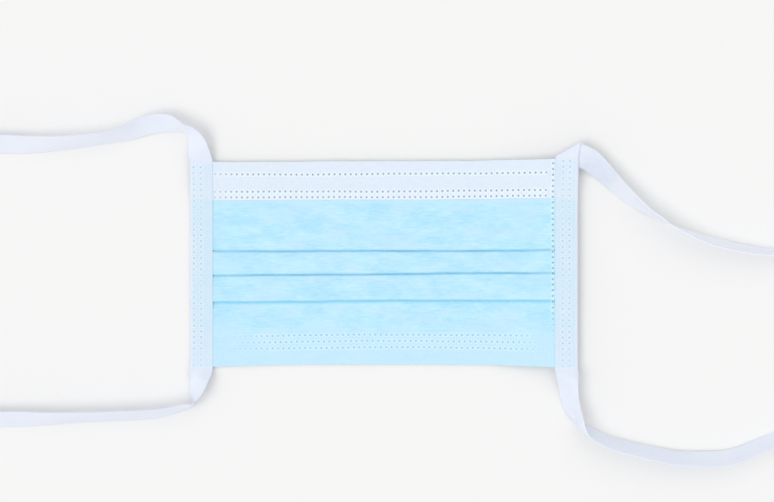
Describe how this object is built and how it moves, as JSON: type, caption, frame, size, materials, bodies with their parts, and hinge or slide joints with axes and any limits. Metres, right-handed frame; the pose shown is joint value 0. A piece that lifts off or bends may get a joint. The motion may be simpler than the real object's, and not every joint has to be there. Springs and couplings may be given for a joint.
{
  "type": "tie-on pleated surgical face mask",
  "caption": "Flat pleated surgical face mask with a turned-over nose band, bound sides and free tie tapes, lying outer face up.",
  "frame": {"origin": "on the resting surface, under the middle of the mask without its ties", "axes": "+X towards the mask's right as it is seen from its outer face, +Y towards the nose edge, +Z out of the outer face"},
  "size_m": [0.3743, 0.1619, 0.0105],
  "materials": {
    "outer_nonwoven": "light blue spun-bonded non-woven, matt, fine fibre mottling",
    "inner_nonwoven": "white spun-bonded non-woven, matt, slightly see-through over the blue",
    "binding_tape": "thin white non-woven tape, finely embossed, slightly see-through over the blue",
    "tie_tape": "thin white non-woven tape folded double, smooth and matt"
  },
  "bodies": {
    "root": {"outer_layer": "outer_nonwoven", "inner_layer": "inner_nonwoven", "binding_left": "binding_tape", "binding_right": "binding_tape", "tie_top_left": "tie_tape", "tie_bottom_left": "tie_tape", "tie_top_right": "tie_tape", "tie_bottom_right": "tie_tape"}
  },
  "joints": []
}
